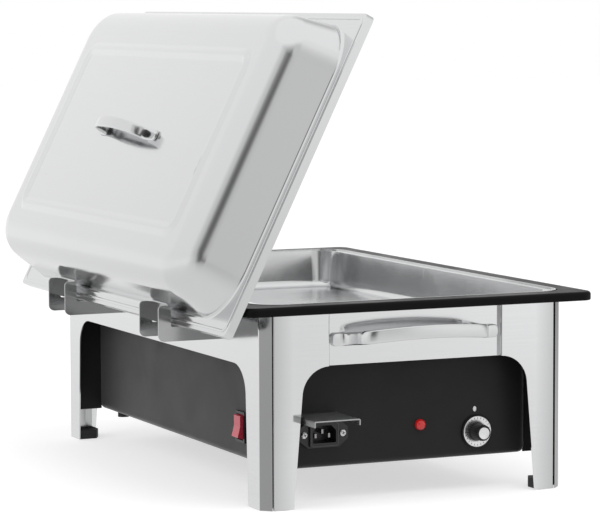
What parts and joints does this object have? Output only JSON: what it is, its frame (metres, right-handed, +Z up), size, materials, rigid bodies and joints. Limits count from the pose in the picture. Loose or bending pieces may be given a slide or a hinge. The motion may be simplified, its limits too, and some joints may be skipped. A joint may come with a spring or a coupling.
{
  "type": "electric food warmer",
  "caption": "Countertop electric food warmer: polished sheet frame, black heated housing, water well, food pan and a lift-off lid parked in side holders.",
  "frame": {"origin": "middle of the footprint, on the floor under the foot pads", "axes": "+X right along the short control face, +Y from the control face to the back, +Z up"},
  "size_m": [0.4245, 0.599, 0.4607],
  "materials": {
    "frame_steel": "polished",
    "post_steel": "satin",
    "lid_steel": "polished",
    "pan_steel": "satin",
    "well_steel": "satin",
    "holder_steel": "polished",
    "handle_steel": "polished",
    "rim_black": "satin",
    "housing_black": "fine matt texture",
    "foot_rubber": "matt",
    "inlet_black": "satin",
    "pin_metal": "bright nickel",
    "screw_steel": "bright",
    "hood_steel": "polished",
    "lamp_red": "glossy translucent",
    "lamp_body": "satin",
    "knob_black": "satin",
    "knob_bright": "turned",
    "switch_black": "satin",
    "rocker_red": "glossy",
    "heater_steel": "heat-tinted matt",
    "terminal_white": "matt",
    "shield_aluminium": "mill",
    "bulb_copper": "bright copper"
  },
  "bodies": {
    "base": {"element_straps": "well_steel", "element_terminals": "terminal_white", "front_carry_handle": "handle_steel", "front_end_panel": "frame_steel", "front_left_foot": "foot_rubber", "front_left_leg": "frame_steel", "front_left_post": "post_steel", "front_lid_holder": "holder_steel", "front_right_foot": "foot_rubber", "front_right_leg": "frame_steel", "front_right_post": "post_steel", "heat_shield": "shield_aluminium", "heating_element": "heater_steel", "holder_screws": "screw_steel", "housing": "housing_black", "housing_screws": "screw_steel", "inlet_hood": "hood_steel", "inlet_pins": "pin_metal", "inlet_screws": "screw_steel", "lamp_body": "lamp_body", "lamp_lens": "lamp_red", "left_side_frame": "frame_steel", "mains_inlet": "inlet_black", "overheat_cutout": "terminal_white", "rear_carry_handle": "handle_steel", "rear_end_panel": "frame_steel", "rear_left_foot": "foot_rubber", "rear_left_leg": "frame_steel", "rear_left_post": "post_steel", "rear_lid_holder": "holder_steel", "rear_right_foot": "foot_rubber", "rear_right_leg": "frame_steel", "rear_right_post": "post_steel", "right_side_frame": "frame_steel", "rim": "rim_black", "rocker_pin": "screw_steel", "sensor_bulb": "bulb_copper", "sensor_tube": "bulb_copper", "switch_case": "switch_black", "terminal_block": "terminal_white", "thermostat_body": "switch_black", "under_stud": "foot_rubber", "water_well": "well_steel"},
    "lid": {"lid_shell": "lid_steel", "lid_handle": "handle_steel", "handle_spacers": "inlet_black", "handle_screws": "screw_steel"},
    "pan": {"food_pan": "pan_steel"},
    "knob": {"thermostat_knob": "knob_black", "dial_disc": "knob_bright", "knob_cap": "knob_bright", "thermostat_shaft": "screw_steel"},
    "rocker": {"rocker": "rocker_red"}
  },
  "joints": [
    {"name": "lid_lift", "type": "slide", "parent": "base", "child": "lid", "axis": [0, 0, 1], "range_m": [0, 0.12]},
    {"name": "pan_lift", "type": "slide", "parent": "base", "child": "pan", "axis": [0, 0, 1], "range_m": [0, 0.05]},
    {"name": "knob_turn", "type": "hinge", "parent": "base", "child": "knob", "pos_m": [0.0778, -0.24, 0.0574], "axis": [0, 1, 0], "range_deg": [0, 270]},
    {"name": "rocker_tilt", "type": "hinge", "parent": "base", "child": "rocker", "pos_m": [-0.132, -0.1555, 0.0642], "axis": [0, -1, 0], "range_deg": [0, 14]}
  ]
}
